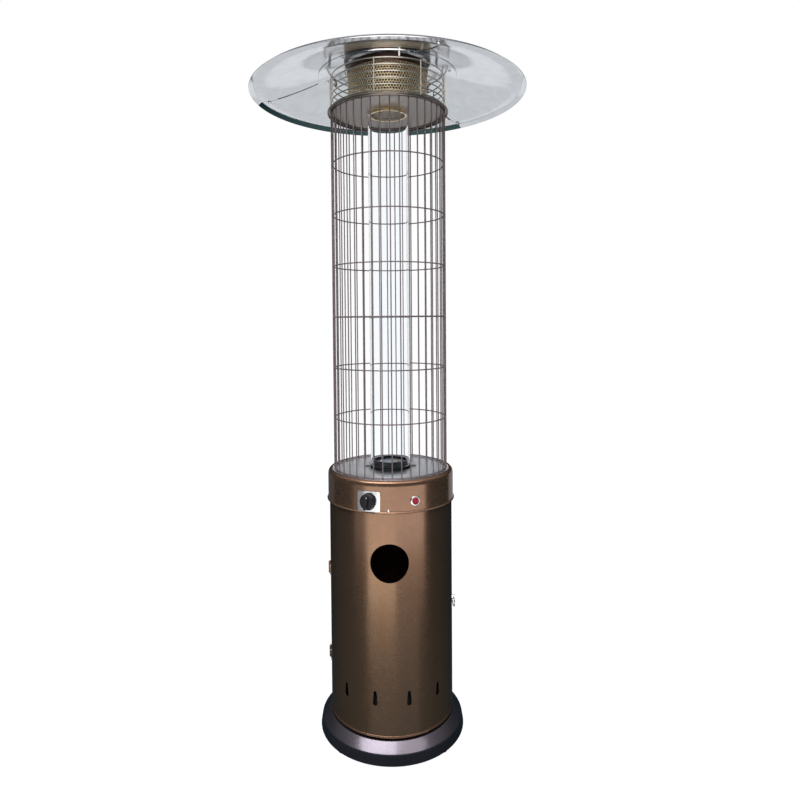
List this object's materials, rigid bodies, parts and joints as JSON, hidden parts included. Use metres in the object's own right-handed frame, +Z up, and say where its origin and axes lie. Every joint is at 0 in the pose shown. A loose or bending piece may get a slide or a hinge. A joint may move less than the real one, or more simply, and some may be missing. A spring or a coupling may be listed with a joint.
{
  "type": "outdoor heater",
  "caption": "Round gas patio heater: bottle compartment with a hinged rear door, control housing, glass flame tube in a wire guard, and an emitter under a flared reflector.",
  "frame": {"origin": "on the ground under the heater's vertical axis", "axes": "+Z up, -Y towards the front with the knob and the hand hole, +X to the right seen from the front"},
  "size_m": [0.813, 0.813, 2.0167],
  "materials": {
    "bronze_paint": "metallic bronze paint, semi-gloss",
    "dark_paint": "dark metallic paint, semi-gloss",
    "wire_coat": "brown coated wire",
    "polished_steel": "bright polished sheet",
    "bright_steel": "bright plated steel",
    "galvanised": "galvanised",
    "mesh_steel": "perforated steel, straw heat tint",
    "burnt_steel": "heat-darkened steel",
    "brass": "turned brass",
    "black_plastic": "moulded, fine grain",
    "red_plastic": "glossy",
    "rubber": "matt",
    "ceramic": "white insulator, stands in for fired ceramic",
    "clear_glass": "clear borosilicate tube"
  },
  "bodies": {
    "heater": {"base_pan": "dark_paint", "foot_1": "rubber", "foot_2": "rubber", "foot_3": "rubber", "foot_4": "rubber", "tank_shell": "bronze_paint", "frame_post_left": "galvanised", "frame_post_right": "galvanised", "magnet_catch": "black_plastic", "hinge_lower_fixed": "bronze_paint", "hinge_lower_pin": "galvanised", "hinge_upper_fixed": "bronze_paint", "hinge_upper_pin": "galvanised", "control_housing": "bronze_paint", "burner_deck": "polished_steel", "knob_bezel": "bright_steel", "gas_valve": "brass", "gas_pipe": "brass", "igniter_collar": "bright_steel", "piezo_igniter": "black_plastic", "burner_cup": "burnt_steel", "burner_head": "mesh_steel", "spark_electrode": "ceramic", "thermocouple": "brass", "ignition_lead": "rubber", "tilt_switch": "black_plastic", "tube_clip_left": "bright_steel", "tube_clip_right": "bright_steel", "guard_cage_1": "wire_coat", "guard_cage_2": "wire_coat", "guard_cage_3": "wire_coat", "guard_cage_4": "wire_coat", "glass_tube": "clear_glass", "top_plate": "polished_steel", "flue_mesh": "mesh_steel", "emitter_screen": "mesh_steel", "emitter_cap": "burnt_steel", "head_guard": "bright_steel", "reflector_centre": "polished_steel", "reflector_panel_1": "polished_steel", "reflector_panel_2": "polished_steel", "reflector_panel_3": "polished_steel", "seam_screw_1": "bright_steel", "seam_screw_2": "bright_steel", "seam_screw_3": "bright_steel", "reflector_post_1": "bright_steel", "reflector_post_2": "bright_steel", "reflector_post_3": "bright_steel", "wing_nut_1": "bright_steel", "wing_nut_2": "bright_steel", "wing_nut_3": "bright_steel"},
    "door": {"tank_door": "bronze_paint", "hinge_lower_leaf": "bronze_paint", "hinge_upper_leaf": "bronze_paint", "pull_bracket": "bright_steel"},
    "pull": {"pull_ring": "bright_steel"},
    "press": {"spindle_bush": "brass"},
    "knob": {"control_knob": "black_plastic", "valve_spindle": "galvanised"},
    "igniter": {"igniter_button": "red_plastic"}
  },
  "joints": [
    {"name": "door_swing", "type": "hinge", "parent": "heater", "child": "door", "pos_m": [-0.1888, 0, 0.38], "axis": [0, 0, 1], "range_deg": [0, 120]},
    {"name": "pull_lift", "type": "hinge", "parent": "door", "child": "pull", "pos_m": [0.19315, 0.02372, 0.3735], "axis": [0.1219, -0.9925, 0], "range_deg": [0, 85]},
    {"name": "knob_press", "type": "slide", "parent": "heater", "child": "press", "axis": [0.3256, 0.9455, 0], "range_m": [0, 0.0035], "stiffness_N_per_m": 1500},
    {"name": "knob_turn", "type": "hinge", "parent": "press", "child": "knob", "pos_m": [-0.06163, -0.17899, 0.7325], "axis": [-0.3256, -0.9455, 0], "range_deg": [0, 180]},
    {"name": "igniter_push", "type": "slide", "parent": "heater", "child": "igniter", "axis": [-0.3584, 0.9336, 0], "range_m": [0, 0.005], "stiffness_N_per_m": 1500}
  ]
}
